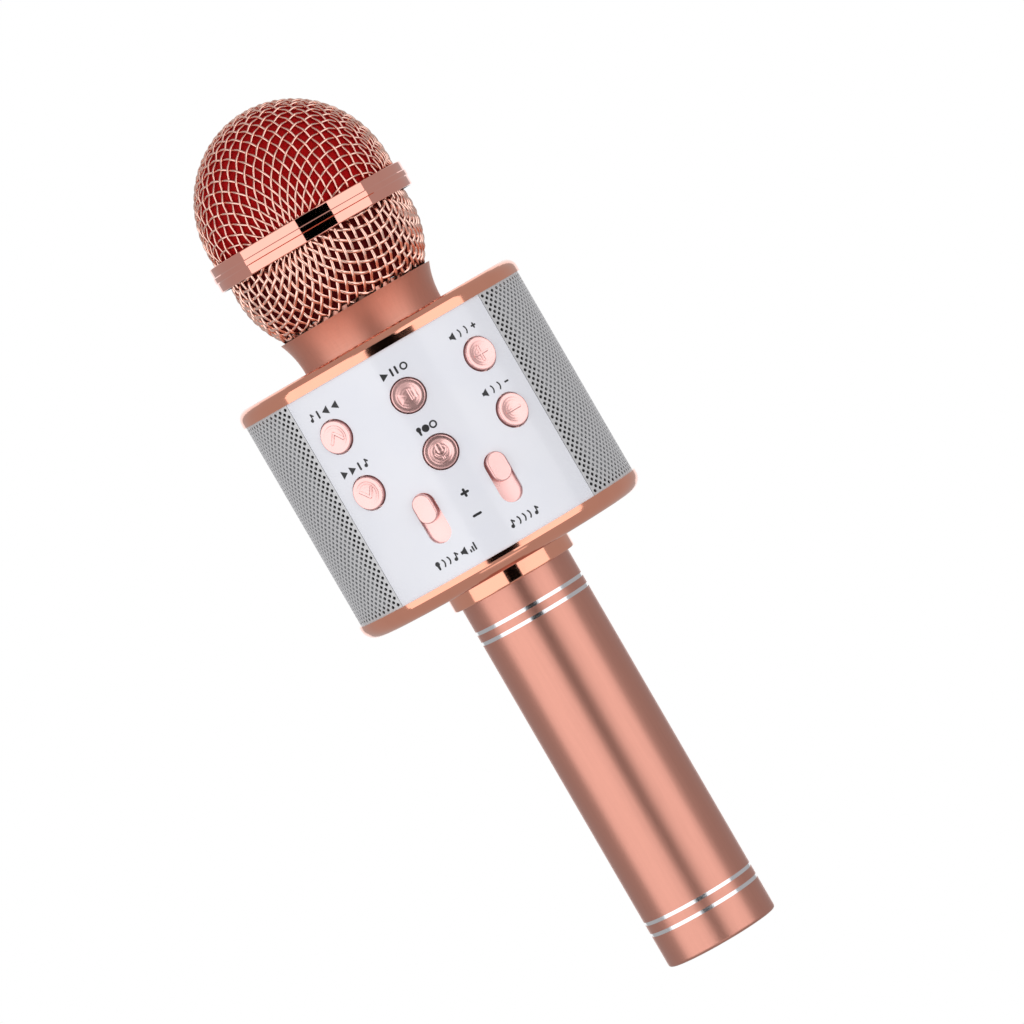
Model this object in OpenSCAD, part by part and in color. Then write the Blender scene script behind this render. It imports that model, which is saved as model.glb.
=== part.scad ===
// Karaoke microphone: a woven grille head on a drum-shaped speaker body with a tubular handle.
// Z runs up the axis from the flat tail, and the control panel faces -Y. All sizes are millimetres.

/* [Handle] */
// Height of the handle, from the tail to the drum
handle_h = 111.1; // [108:0.1:116]
// Outer radius of the handle tube
tube_r = 15.65; // [15.6:0.05:15.8]
// Wall of the handle tube
tube_wall = 1.2; // [1:0.1:1.3]
// Radius of the polished collar under the drum
collar_r = 17.6; // [17:0.1:20]
// Height of that collar
collar_h = 4.6; // [3:0.1:6]
// Width of each bright-cut band
band_w = 1.0; // [0.6:0.1:1.2]
// Depth of each bright-cut band
band_depth = 0.15; // [0.1:0.05:0.3]

/* [Drum] */
// Radius of the panels round the drum
skin_r = 40.35; // [40.2:0.05:40.6]
// Height of the panels and side grilles
skin_h = 58.8; // [58:0.1:60]
// Radius of the top and bottom plates
plate_r = 40.8; // [40.7:0.1:42]
// Thickness of the top plate
top_plate_h = 4.2; // [4:0.1:5]
// Thickness of the bottom plate
bottom_plate_h = 4.6; // [4.4:0.1:5]
// Half of the angle that each panel covers
panel_half_angle = 43.75; // [42.5:0.25:43.75]

/* [Controls] */
// Radius of a button cap
button_r = 4.5; // [4:0.1:4.5]
// Angle of the outer button columns, from the panel's middle
button_angle = 31.2; // [31:0.1:32]
// Travel of a button
button_travel = 0.6; // [0.3:0.1:0.6]
// Angle of the two sliders, from the panel's middle
slider_angle = 15; // [14.8:0.1:15.2]
// Length of a slider's slot
slot_l = 13.9; // [13:0.1:14]
// Width of a slider's slot
slot_w = 6.2; // [6:0.1:6.4]
// Length of a slider's knob
knob_l = 7.8; // [7.5:0.1:8.4]

/* [Head] */
// Height of the neck
neck_h = 9.4; // [9.4:0.1:11]
// Radius of the neck where it meets the drum
neck_r = 20.0; // [19.9:0.1:20.4]
// How far the neck flares out at its lip
neck_flare = 1.95; // [1.9:0.05:2.3]
// Radius of the upper half of the ball
ball_r = 26.6; // [26.4:0.1:26.7]
// Height from the ring to the top of the ball
dome_h = 30.9; // [30.5:0.1:32]
// Radius of the lower half of the ball
bowl_r = 26.05; // [26:0.05:26.1]
// Height from the neck to the ring
bowl_h = 19.3; // [19.2:0.1:19.4]
// Height of the ring round the ball
ring_h = 6.7; // [6.5:0.1:7.5]
// Outer radius of the ring
ring_r = 28.1; // [28:0.1:29]

/* [Hidden] */

$fn = 96;
eps = 0.01;
reach = 60; // longer than the drum is deep, for cutters

// Heights of the seams, from the tail up
z_skin = handle_h + bottom_plate_h;
z_plate = z_skin + skin_h;
z_neck = z_plate + top_plate_h;
z_lip = z_neck + neck_h;
z_ring = z_lip + bowl_h;
z_dome = z_ring + ring_h;
z_top = z_dome + dome_h;
z_mid = z_skin + skin_h / 2;

// Handle
tube_bore_r = tube_r - tube_wall;
band_heights = [9.6, 12.9, handle_h - 15, handle_h - 12];
collar_seat_r = tube_r - 0.3; // the tube is turned down where the collar sits
tail_edge = 0.8;
cap_r = tube_bore_r - 0.1;
stub_shank_r = 12;
lead_bore_r = 8;
hole_gap = 0.1; // radial room round a part that stays put
nut_h = 4;
cell_r = 9.2;
cell_h = 65;
cell_z = 24;
lead_r = 0.6;

// Drum
panel_wall = 2;
chassis_r = skin_r - panel_wall - 0.15;
chassis_wall = 2;
baffle_x = 31;
grille_r = skin_r - 0.2;
grille_wall = 0.5;
cloth_r = grille_r - grille_wall - 0.1;
cloth_wall = 0.3;
cloth_margin = 2.2; // how far the cloth stays from the plates
cloth_half_angle = 38;
ledge_r = cloth_r - cloth_wall - 0.05;
grille_half_angle = 89.5 - panel_half_angle;
plate_recess = 2.4;
plate_recess_r = [19, 36];
bottom_edge = 3.8;
top_edge = 2.8;
boss_spots = [[25, 15], [25, -15], [-25, 15], [-25, -15]];
boss_r = 3;
boss_h = 8.3;
screw_r = 1.25;
neck_screw_spots = [for (a = [45:90:315]) 13.5 * [cos(a), sin(a)]];

// Speakers: each is turned about the X axis, and these are radius and distance from the middle
speaker_r = 21.5;
speaker_hole_r = 20.2;
magnet_r = 11;
magnet_x = [9.5, 20];
cone_r = 17;
cone_x = [23, 31];
coil_r = 6;

// Controls: heights are those of the panel's rows
row_play = z_skin + 45.6;
row_record = z_skin + 29.3;
row_slider = z_skin + 15.95;
button_hole_r = button_r + 0.2;
button_proud = 0.75;
button_flange_r = button_r + 0.9;
button_flange_at = 36.95; // distance from the axis to the back of a button's flange
button_flange_t = 0.8;
button_dish_r = 15;
button_dish_depth = 0.4;
switch_r = 29; // distance from the axis to the boards' faces
switch_h = 3.5;
stem_r = 1.7;
stem_grip = 0.6; // how far a button's stem sits in its switch at rest
slider_travel = slot_l - knob_l - 0.4;
knob_z = row_slider + slider_travel / 2;
knob_w = slot_w - 1.1;
knob_proud = 1.6;
shutter_half_angle = 5.9;
shutter_r = [skin_r - 1.8, skin_r - 1.2];
shutter_reach = knob_l / 2 + 6.2; // half its height: it hides the slot at both ends of the travel
board_t = 1.2;
post_r = 2;
post_heights = [z_skin + 7.8, (row_play + row_record) / 2];

// Sockets at the back
port_z = z_skin + 12.3;
port_top = port_z + board_t;
usb_x = -12.5;
aux_x = 12.5;
aux_z = port_top + 3.2;
aux_bore_r = 1.8;
aux_mouth_y = 38;
aux_depth = 13.5;
led_x = 20;
led_z = port_top + 2;
power_z = z_mid + 7;
power_travel = 2.6;
power_knob_w = 2.8;
power_slot_half = (power_knob_w + power_travel) / 2 + 0.4;
power_knob_left = 0.3 - power_slot_half; // at rest the knob stands at its slot's left end

// Head
thread_r = 18.6;
thread_gap = 0.2;
lip_bore_r = neck_r + neck_flare - 0.65;
seat_z = z_lip - 0.9;
gasket_h = 0.7;
mesh_t = 0.8;
dome_rise = 28; // height of the rounded part of the dome
dome_z = z_top - dome_rise;
bowl_z = z_ring - 3.75; // height of the bowl's widest circle
foam_gap = 0.25;
foam_split = z_ring + 3.4;
capsule_r = 10;
capsule_z = [z_lip + 9, z_lip + 20.4];
cup_r = 12.5;

rose = "rosybrown";
polished = "peru";
pink = "lightpink";
black = [0.12, 0.12, 0.13];

// ---- shared shapes ----

// Points on an arc in the radius-height plane
function arc(cx, cz, r, from, to, n = 8) =
    [for (i = [0:n]) let (a = from + (to - from) * i / n) [cx + r * cos(a), cz + r * sin(a)]];

// Points on the dome's outline, shrunk by an inset
function dome_line(inset, n = 20) =
    [for (i = [0:n]) let (a = 90 * i / n)
        [(ball_r - inset) * cos(a), dome_z + (dome_rise - inset) * sin(a)]];

// Points on the bowl's outline between two heights, shrunk by an inset
function bowl_line(inset, z0, z1, n = 14) =
    [for (i = [0:n]) let (z = z0 + (z1 - z0) * i / n, r = bowl_r - inset)
        [sqrt(r * r - pow(z - bowl_z, 2)), z]];

function unit(v) = v / norm(v);
function backwards(v) = [for (i = [len(v) - 1:-1:0]) v[i]];

module turned(points) rotate_extrude() polygon(points);

module tube(r0, r1, z0, z1)
    turned([[r0, z0], [r1, z0], [r1, z1], [r0, z1]]);

// A piece of cylindrical wall round the axis, centred on an angle from +X
module arc_wall(r0, r1, middle, half, z0, z1)
    rotate([0, 0, middle - half])
        rotate_extrude(angle = 2 * half)
            translate([r0, z0]) square([r1 - r0, z1 - z0]);

// Puts a shape on the drum's face: x runs round to the right, y up, z outwards
module on_face(angle, z, r = 0)
    translate([0, 0, z]) rotate([0, 0, angle]) translate([0, -r, 0]) rotate([90, 0, 0])
        children();

module pill(w, l, h)
    linear_extrude(h) {
        square([w, l - w], center = true);
        for (side = [-1, 1]) translate([0, side * (l - w) / 2]) circle(r = w / 2);
    }

module block(x, y, z)
    translate([x[0], y[0], z[0]]) cube([x[1] - x[0], y[1] - y[0], z[1] - z[0]]);

// A round wire through a list of points
module wire(points, r = lead_r, sides = 8) {
    last = len(points) - 1;
    rings = [for (i = [0:last])
        let (t = unit(points[min(i + 1, last)] - points[max(i - 1, 0)]),
             u = unit(cross(t, [0.31, 0.87, 0.38])), v = cross(t, u))
        [for (k = [0:sides - 1]) let (a = 360 * k / sides) points[i] + r * (cos(a) * u + sin(a) * v)]];
    polyhedron(
        points = [for (ring = rings) for (p = ring) p],
        faces = concat(
            [[for (k = [0:sides - 1]) sides - 1 - k]],
            [[for (k = [0:sides - 1]) last * sides + k]],
            [for (i = [0:last - 1]) for (k = [0:sides - 1]) let (j = (k + 1) % sides, a = i * sides)
                each [[a + k, a + j, a + sides + j], [a + k, a + sides + j, a + sides + k]]]));
}

// A pan-head screw with its head's underside at the origin, pointing down
module screw(length, head_r = 2.1, head_h = 1.2) {
    translate([0, 0, -length]) cylinder(r = screw_r, h = length + eps);
    difference() {
        cylinder(r = head_r, h = head_h);
        for (turn = [0, 90])
            rotate([0, 0, turn]) translate([-1.2, -0.3, head_h - 0.6]) cube([2.4, 0.6, 1]);
    }
}

// ---- handle ----

module handle_tube() color(rose) difference() {
    turned(concat([[tube_bore_r, 0]],
        arc(tube_r - tail_edge, tail_edge, tail_edge, -90, 0, 6),
        [[tube_r, handle_h - collar_h], [collar_seat_r, handle_h - collar_h],
            [collar_seat_r, handle_h], [tube_bore_r, handle_h]]));
    for (z = band_heights)
        tube(tube_r - band_depth, tube_r + 1, z - band_w / 2, z + band_w / 2);
}

module tail_cap() color(black) {
    cylinder(r = cap_r, h = 3);
    tube(cap_r - 1.8, cap_r, 3 - eps, 10);
}

module handle_collar() color(polished)
    turned(concat([[collar_seat_r + 0.05, handle_h - collar_h]],
        arc(collar_r - 0.4, handle_h - collar_h + 0.4, 0.4, -90, 0, 4),
        [[collar_r, handle_h], [collar_seat_r + 0.05, handle_h]]));

module handle_stub() color(black)
    turned([[lead_bore_r, handle_h - 14], [tube_bore_r - 0.1, handle_h - 14],
        [tube_bore_r - 0.1, handle_h], [stub_shank_r, handle_h],
        [stub_shank_r, z_skin + 7.5], [lead_bore_r, z_skin + 7.5]]);

module handle_nut() color("silver") translate([0, 0, z_skin + chassis_wall]) difference() {
    cylinder(r = 16.5, h = nut_h, $fn = 6);
    translate([0, 0, -1]) cylinder(r = stub_shank_r + hole_gap, h = nut_h + 2);
}

module battery_cell() color("royalblue") {
    translate([0, 0, cell_z]) cylinder(r = cell_r, h = cell_h);
    translate([0, 0, cell_z + cell_h - eps]) cylinder(r = 2.8, h = 1.2);
}

module battery_sleeve() color("dimgray") {
    tube(cell_r + hole_gap, cell_r + 2, 10.2, handle_h - 14.2);
    for (a = [30:120:270])
        rotate([0, 0, a]) block([cell_r + 1.5, tube_bore_r - 0.4], [-1, 1], [11, handle_h - 15]);
}

module battery_leads() color("firebrick") for (side = [-1, 1])
    wire([[3.8 * side, 0, cell_z + cell_h + 0.1], [4 * side, 0, cell_z + cell_h + 6],
        [4 * side, -1, handle_h], [4 * side, -3, z_skin + 12], [4 * side, -14, z_skin + 16],
        [3 * side, -24, z_skin + 17], [3 * side, board_t - switch_r + 0.1, z_skin + 17]]);

// ---- drum ----

module bottom_plate() color(polished) difference() {
    turned(concat([[stub_shank_r + hole_gap, handle_h]],
        arc(plate_r - bottom_edge, handle_h + bottom_edge, bottom_edge, -90, 0, 16),
        [[plate_r, z_skin], [plate_recess_r[1], z_skin], [plate_recess_r[1], z_skin - plate_recess],
            [plate_recess_r[0], z_skin - plate_recess], [plate_recess_r[0], z_skin],
            [stub_shank_r + hole_gap, z_skin]]));
    for (spot = boss_spots) translate([spot[0], spot[1], handle_h - 1]) {
        cylinder(r = 2.2, h = 2.2);
        cylinder(r = screw_r + hole_gap, h = bottom_plate_h);
    }
}

module bottom_screws() color("silver") for (spot = boss_spots)
    translate([spot[0], spot[1], handle_h + 1.2]) rotate([180, 0, 0]) screw(9);

module drum_section(r, half_x) intersection() {
    circle(r = r);
    square([2 * half_x, 2 * r + 2], center = true);
}

// The D-sided box that holds everything in the drum, before it is split in two
module chassis_box() {
    translate([0, 0, z_skin]) linear_extrude(skin_h) difference() {
        drum_section(chassis_r, baffle_x);
        drum_section(chassis_r - chassis_wall, baffle_x - chassis_wall);
    }
    for (z = [z_skin, z_plate - chassis_wall])
        translate([0, 0, z]) linear_extrude(chassis_wall)
            drum_section(chassis_r - chassis_wall / 2, baffle_x - chassis_wall / 2);
    for (middle = [-40.4, 40.4, 139.6, 220.4])
        arc_wall(chassis_r - 1, ledge_r, middle, 4.6, z_skin, z_plate);
    for (spot = boss_spots)
        translate([spot[0], spot[1], z_skin - plate_recess]) cylinder(r = boss_r, h = plate_recess + boss_h);
    for (spot = neck_screw_spots)
        translate([spot[0], spot[1], z_plate - 9]) cylinder(r = 2.6, h = 8);
}

module chassis_holes() {
    translate([0, 0, z_mid]) rotate([0, 90, 0]) cylinder(r = speaker_hole_r, h = 100, center = true);
    translate([0, 0, z_skin - 1]) cylinder(r = stub_shank_r + hole_gap, h = 5);
    translate([0, 0, z_plate - 3]) cylinder(r = lead_bore_r, h = 5);
    for (spot = boss_spots)
        translate([spot[0], spot[1], z_skin - 3]) cylinder(r = screw_r + 0.05, h = 9);
    for (spot = neck_screw_spots)
        translate([spot[0], spot[1], z_plate - 7.6]) cylinder(r = screw_r + 0.05, h = 9);
}

module chassis_front() color(black) difference() {
    union() {
        chassis_box();
        for (z = post_heights) on_face(0, z, chassis_r - 1) translate([0, 0, switch_r - chassis_r + 1])
            cylinder(r = post_r, h = chassis_r - 1 - switch_r);
        for (side = [-1, 1]) on_face(side * button_angle, post_heights[1], switch_r)
            cylinder(r = post_r, h = chassis_r - 1 - switch_r);
    }
    chassis_holes();
    block([-reach, reach], [0, reach], [handle_h, z_neck]);
    for (c = buttons) on_face(c[0], c[1], chassis_r - 4) cylinder(r = button_flange_r + 0.5, h = 8);
    for (side = [-1, 1]) shutter_pocket(side, chassis_r - 4, chassis_r + 2);
    for (z = post_heights) on_face(0, z, switch_r - 1) cylinder(r = screw_r + 0.05, h = 6);
    for (side = [-1, 1]) on_face(side * button_angle, post_heights[1], switch_r - 1)
        cylinder(r = screw_r + 0.05, h = 6);
}

module chassis_back() color(black) difference() {
    chassis_box();
    chassis_holes();
    block([-reach, reach], [-reach, 0], [handle_h, z_neck]);
    socket_openings(0.4);
}

// Cutters through the back wall, with room all round
module socket_openings(room) {
    depth = [30, 45];
    block([-7 - room, 7 + room], depth, [port_top + 0.1 - room, port_top + 2 + room]);
    block([usb_x - 3.9 - room, usb_x + 3.9 + room], depth, [port_top - 0.1, port_top + 3 + room]);
    translate([aux_x, depth[0], aux_z]) rotate([-90, 0, 0]) cylinder(r = 3 + room, h = 15);
    translate([led_x, depth[0] - 5, led_z]) rotate([-90, 0, 0]) cylinder(r = 1.1 + room, h = 20);
    block([-power_slot_half - room, power_slot_half + room], depth,
        [power_z - 1.7 - room, power_z + 1.7 + room]);
}

// Every button: its angle round the face and its height
buttons = [
    [-button_angle, row_play], [-button_angle, row_record], [0, row_play],
    [0, row_record], [button_angle, row_play], [button_angle, row_record]
];

module front_panel() color("white") difference() {
    arc_wall(skin_r - panel_wall, skin_r, -90, panel_half_angle, z_skin, z_plate);
    for (c = buttons) on_face(c[0], c[1], skin_r - 6) cylinder(r = button_hole_r, h = 9);
    for (side = [-1, 1]) {
        on_face(side * slider_angle, row_slider, skin_r - 6) pill(slot_w, slot_l, 9);
        shutter_pocket(side, skin_r - 3, skin_r - 1);
    }
}

// The room that a slider's shutter moves in
module shutter_pocket(side, r0, r1)
    arc_wall(r0, r1, side * slider_angle - 90, shutter_half_angle + 0.8,
        row_slider - slider_travel / 2 - shutter_reach - 0.4, row_slider + slider_travel / 2 + shutter_reach + 0.4);

module back_panel() color("white") difference() {
    arc_wall(skin_r - panel_wall, skin_r, 90, panel_half_angle, z_skin, z_plate);
    socket_openings(0);
}

module side_grille(middle) color("darkgray")
    arc_wall(grille_r - grille_wall, grille_r, middle, grille_half_angle, z_skin, z_plate);

module side_grille_left() side_grille(180);
module side_grille_right() side_grille(0);

module dust_cloths() color("silver") for (middle = [0, 180])
    arc_wall(cloth_r - cloth_wall, cloth_r, middle, cloth_half_angle, z_skin + cloth_margin, z_plate - cloth_margin);

// ---- speakers ----

module toward_side(side)
    translate([0, 0, z_mid]) rotate([0, side * 90, 0]) children();

module speaker_frames() color("gray") for (side = [-1, 1]) toward_side(side)
    turned([[speaker_r, baffle_x], [speaker_r, baffle_x + 1.2], [cone_r + 1.9, baffle_x + 1.2],
        [cone_r + 1.9, baffle_x - 0.4], [12, magnet_x[1] + 1], [7.2, magnet_x[1] + 1],
        [7.2, magnet_x[1]], [12.6, magnet_x[1]], [speaker_hole_r - 0.2, baffle_x - 1],
        [speaker_hole_r - 0.2, baffle_x]]);

module speaker_magnets() color("dimgray") for (side = [-1, 1]) toward_side(side)
    turned([[0, magnet_x[0]], [magnet_r, magnet_x[0]], [magnet_r, magnet_x[1]],
        [coil_r + 0.7, magnet_x[1]], [coil_r + 0.7, magnet_x[0] + 2], [coil_r - 1, magnet_x[0] + 2],
        [coil_r - 1, magnet_x[1] + 0.4], [0, magnet_x[1] + 0.4]]);

module speaker_surrounds() color(black) for (side = [-1, 1]) toward_side(side)
    turned(concat([[cone_r + 0.3, baffle_x - 0.2]],
        [[cone_r + 1.8, baffle_x - 0.2], [cone_r + 1.8, baffle_x + 0.8]],
        arc(cone_r + 1.05, baffle_x + 0.8, 0.75, 0, 180, 6)));

module speaker_cone(side) color("darkslategray") toward_side(side)
    turned([[cone_r, cone_x[1]], [cone_r, cone_x[1] + 0.5], [coil_r + 1, cone_x[0] + 1.2],
        [coil_r - 2, cone_x[0] + 3], [0, cone_x[0] + 3.6], [0, cone_x[0] + 3],
        [coil_r - 2.2, cone_x[0] + 2.4], [coil_r - 0.4, cone_x[0] + 0.6], [coil_r - 0.4, magnet_x[0] + 4.5],
        [coil_r, magnet_x[0] + 4.5], [coil_r, cone_x[0] - 0.4], [coil_r + 1, cone_x[0] + 0.4]]);

module speaker_cone_left() speaker_cone(-1);
module speaker_cone_right() speaker_cone(1);

module speaker_leads() color("firebrick") for (side = [-1, 1]) for (up = [-2, 2])
    wire([[side * (magnet_x[0] + 3), -magnet_r - 0.7, z_mid + up], [side * (magnet_x[0] + 1), -16, z_mid + up],
        [side * 6.5, -22, z_mid + 3 + up], [side * 6, board_t - switch_r + 0.1, z_mid + 3 + up]]);

// ---- controls ----

module main_board() color("darkgreen") difference() {
    union() {
        block([-13, 13], [-switch_r, board_t - switch_r], [z_skin + 3.5, z_skin + 23.5]);
        block([-7.6, 7.6], [-switch_r, board_t - switch_r], [z_skin + 23, z_plate - 4.5]);
    }
    for (z = post_heights) on_face(0, z, switch_r - 3) cylinder(r = screw_r + hole_gap, h = 6);
}

module key_boards() color("darkgreen") for (side = [-1, 1]) difference() {
    on_face(side * button_angle, 0, switch_r - board_t)
        block([-5.5, 5.5], [z_skin + 24.1, z_skin + 52], [0, board_t]);
    on_face(side * button_angle, post_heights[1], switch_r - 3) cylinder(r = screw_r + hole_gap, h = 6);
}

module board_screws() color("silver") {
    for (z = post_heights) on_face(0, z, switch_r - board_t) rotate([180, 0, 0]) screw(5.5);
    for (side = [-1, 1]) on_face(side * button_angle, post_heights[1], switch_r - board_t)
        rotate([180, 0, 0]) screw(5.5);
}

module tact_switches() color("dimgray") for (c = buttons) on_face(c[0], c[1], switch_r) difference() {
    block([-3, 3], [-3, 3], [0, switch_h]);
    translate([0, 0, switch_h - stem_grip - button_travel - 0.4]) cylinder(r = stem_r + 0.2, h = 3);
}

// A cap in its hole, with the flange that keeps it in and the stem that works the switch
module button(angle, z) color(pink) on_face(angle, z) {
    cap_base = button_flange_at + 0.05;
    cap_top = skin_r + button_proud;
    stem_end = switch_r + switch_h - stem_grip;
    difference() {
        translate([0, 0, cap_base]) cylinder(r = button_r, h = cap_top - cap_base);
        translate([0, 0, cap_top + button_dish_r - button_dish_depth]) sphere(r = button_dish_r);
    }
    translate([0, 0, button_flange_at]) cylinder(r = button_flange_r, h = button_flange_t);
    translate([0, 0, stem_end]) cylinder(r = stem_r, h = cap_base + 0.3 - stem_end);
}

module button_previous() button(-button_angle, row_play);
module button_next() button(-button_angle, row_record);
module button_play() button(0, row_play);
module button_record() button(0, row_record);
module button_volume_up() button(button_angle, row_play);
module button_volume_down() button(button_angle, row_record);

module slide_pots() color("silver") for (side = [-1, 1]) difference() {
    block([side * 8.6 - 3.1, side * 8.6 + 3.1], [-switch_r - 3.4, -switch_r], [row_slider - 9.2, row_slider + 9.2]);
    block([side * 8.5 - 2.2, side * 8.5 + 2.2], [-switch_r - 4, -switch_r - 1.2],
        [row_slider - slider_travel / 2 - 1.8, row_slider + slider_travel / 2 + 1.8]);
}

// A knob in its slot, on the curved shutter that hides the slot, with the lever that works the slide pot
module slider(side) color(pink) {
    arc_wall(shutter_r[0], shutter_r[1], side * slider_angle - 90, shutter_half_angle,
        knob_z - shutter_reach, knob_z + shutter_reach);
    on_face(side * slider_angle, knob_z, shutter_r[0] + 0.2)
        pill(knob_w, knob_l, skin_r + knob_proud - shutter_r[0] - 0.2);
    on_face(side * slider_angle, knob_z)
        block([-1, 1], [-1.5, 1.5], [switch_r + 2.8, shutter_r[0] + 0.2]);
}

module slider_mic_volume() slider(-1);
module slider_echo() slider(1);

// ---- sockets ----

module port_board() color("darkgreen") translate([0, 0, port_z]) linear_extrude(board_t) intersection() {
    circle(r = chassis_r - chassis_wall - 0.4);
    translate([-22, 8]) square([44, 30]);
}

module card_socket() color("silver") difference() {
    block([-7, 7], [20.8, 35.2], [port_top, port_top + 2]);
    block([-5.7, 5.7], [22.5, 36], [port_top + 0.4, port_top + 1.6]);
}

module usb_socket() color("silver") difference() {
    block([usb_x - 3.8, usb_x + 3.8], [30, 36.9], [port_top, port_top + 2.9]);
    block([usb_x - 3.4, usb_x + 3.4], [31, 38], [port_top + 0.4, port_top + 2.5]);
}

module aux_socket() color(black) difference() {
    union() {
        block([aux_x - 3.4, aux_x + 3.4], [aux_mouth_y - aux_depth - 1.5, 32], [port_top, port_top + 6.4]);
        translate([aux_x, 31, aux_z]) rotate([-90, 0, 0]) cylinder(r = 2.85, h = aux_mouth_y - 31);
    }
    translate([aux_x, aux_mouth_y - aux_depth, aux_z]) rotate([-90, 0, 0])
        cylinder(r = aux_bore_r, h = aux_depth + 1);
}

module status_led() color("red") translate([led_x, 0, led_z]) rotate([-90, 0, 0]) {
    translate([0, 0, 26]) cylinder(r = 1.5, h = 3);
    translate([0, 0, 29 - eps]) cylinder(r = 1, h = 5.9);
}

module power_switch_body() color("silver") difference() {
    block([-5, 5], [31.8, 35.6], [power_z - 2.6, power_z + 2.6]);
    block([-power_slot_half, power_slot_half], [33.6, 36], [power_z - 1.7, power_z + 1.7]);
}

module power_switch_knob() color(black)
    block([power_knob_left, power_knob_left + power_knob_w], [33.8, skin_r + 0.9],
        [power_z - 1.4, power_z + 1.4]);

// ---- neck and head ----

module top_plate() color(polished) difference() {
    turned(concat([[lead_bore_r, z_plate], [plate_recess_r[0], z_plate],
        [plate_recess_r[0], z_plate + plate_recess - 0.4], [plate_recess_r[1], z_plate + plate_recess - 0.4],
        [plate_recess_r[1], z_plate], [plate_r, z_plate]],
        arc(plate_r - top_edge, z_neck - top_edge, top_edge, 0, 90, 16), [[lead_bore_r, z_neck]]));
    for (spot = neck_screw_spots)
        translate([spot[0], spot[1], z_plate - 1]) cylinder(r = screw_r + hole_gap, h = 9);
}

flare_r = (neck_h * neck_h + neck_flare * neck_flare) / (2 * neck_flare);
flare_angle = asin(neck_h / flare_r);

module neck_collar() color(rose) difference() {
    turned(concat([[6, z_neck]],
        arc(neck_r + flare_r, z_neck, flare_r, 180, 180 - flare_angle, 10),
        [[lip_bore_r, z_lip], [lip_bore_r, seat_z], [thread_r, seat_z],
            [thread_r, z_neck + 2], [6, z_neck + 2]]));
    for (spot = neck_screw_spots)
        translate([spot[0], spot[1], z_neck - 1]) cylinder(r = screw_r + hole_gap, h = 5);
}

module neck_screws() color("silver") for (spot = neck_screw_spots)
    translate([spot[0], spot[1], z_neck + 4]) screw(14);

module capsule_cup() color(black) difference() {
    turned([[6, z_neck + 2], [16.4, z_neck + 2], [16.4, z_neck + 4], [10, z_neck + 4],
        [10, capsule_z[0] - 4], [cup_r, capsule_z[0] - 2], [cup_r, capsule_z[1] - 2],
        [capsule_r + 1.2, capsule_z[1] - 2], [capsule_r + 1.2, capsule_z[0] - 0.2],
        [6, capsule_z[0] - 0.2]]);
    for (spot = neck_screw_spots)
        translate([spot[0], spot[1], z_neck + 1]) cylinder(r = screw_r + hole_gap, h = 4);
}

module capsule() color("silver")
    turned([[0, capsule_z[0]], [capsule_r, capsule_z[0]], [capsule_r, capsule_z[1] - 1],
        [capsule_r - 1, capsule_z[1]], [0, capsule_z[1]]]);

module capsule_ring() color("dimgray")
    tube(capsule_r + 0.1, capsule_r + 1.1, capsule_z[0] + 1, capsule_z[1] - 2.4);

module capsule_leads() color("gold") for (side = [-1, 1])
    wire([[side * 2.2, 0, capsule_z[0] - 0.3], [side * 2.4, 0, z_neck + 6], [side * 2.4, -1, z_plate - 4],
        [side * 2.4, -8, z_plate - 10], [side * 2.4, -22, z_plate - 12],
        [side * 2.4, board_t - switch_r + 0.1, z_plate - 12]], 0.5);

module head_gasket() color(black)
    tube(thread_r + 0.3, lip_bore_r - 0.4, seat_z, seat_z + gasket_h);

module head_ferrule() color(rose)
    turned([[16.8, z_neck + 2.3], [thread_r - thread_gap, z_neck + 2.3],
        [thread_r - thread_gap, seat_z + gasket_h], [19.6, seat_z + gasket_h],
        [19.6, seat_z + gasket_h + 1.2], [16.8, seat_z + gasket_h + 1.2]]);

module grille_lower() color(polished)
    turned(concat(bowl_line(0, z_lip - 0.1, foam_split - 0.4),
        backwards(bowl_line(mesh_t, z_lip - 0.1, foam_split - 0.4))));

module grille_ring() color(polished) {
    bead = 0.45;
    edge = 0.35;
    middle = z_ring + ring_h / 2;
    turned(concat([[ball_r + 0.1, z_ring], [ring_r - edge, z_ring], [ring_r, z_ring + edge],
        [ring_r, middle - 0.9]], arc(ring_r - 0.45, middle, 0.9 + eps, -60, 60, 6),
        [[ring_r, middle + 0.9], [ring_r, z_dome - edge],
        [ring_r - edge, z_dome], [ball_r + 0.1, z_dome]]));
}

module grille_upper() color(polished)
    turned(concat([[ball_r, foam_split]], dome_line(0),
        backwards(dome_line(mesh_t)), [[ball_r - mesh_t, foam_split]]));

module foam_lower() color("darkred")
    turned(concat(bowl_line(mesh_t + foam_gap, z_lip + 1.2, foam_split - 0.2),
        [[cup_r + 0.7, foam_split - 0.2], [cup_r + 0.7, z_lip + 1.2]]));

module foam_upper() color("red")
    turned(concat([[0, foam_split], [ball_r - mesh_t - foam_gap, foam_split]],
        dome_line(mesh_t + foam_gap)));

handle_tube();
tail_cap();
handle_collar();
handle_stub();
handle_nut();
battery_cell();
battery_sleeve();
battery_leads();
bottom_plate();
bottom_screws();
chassis_front();
chassis_back();
front_panel();
back_panel();
side_grille_left();
side_grille_right();
dust_cloths();
speaker_frames();
speaker_magnets();
speaker_surrounds();
speaker_leads();
speaker_cone_left();
speaker_cone_right();
main_board();
key_boards();
board_screws();
tact_switches();
slide_pots();
button_previous();
button_next();
button_play();
button_record();
button_volume_up();
button_volume_down();
slider_mic_volume();
slider_echo();
port_board();
usb_socket();
aux_socket();
card_socket();
status_led();
power_switch_body();
power_switch_knob();
top_plate();
neck_collar();
neck_screws();
capsule_cup();
capsule();
capsule_ring();
capsule_leads();
head_gasket();
head_ferrule();
grille_lower();
grille_ring();
grille_upper();
foam_lower();
foam_upper();
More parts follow.
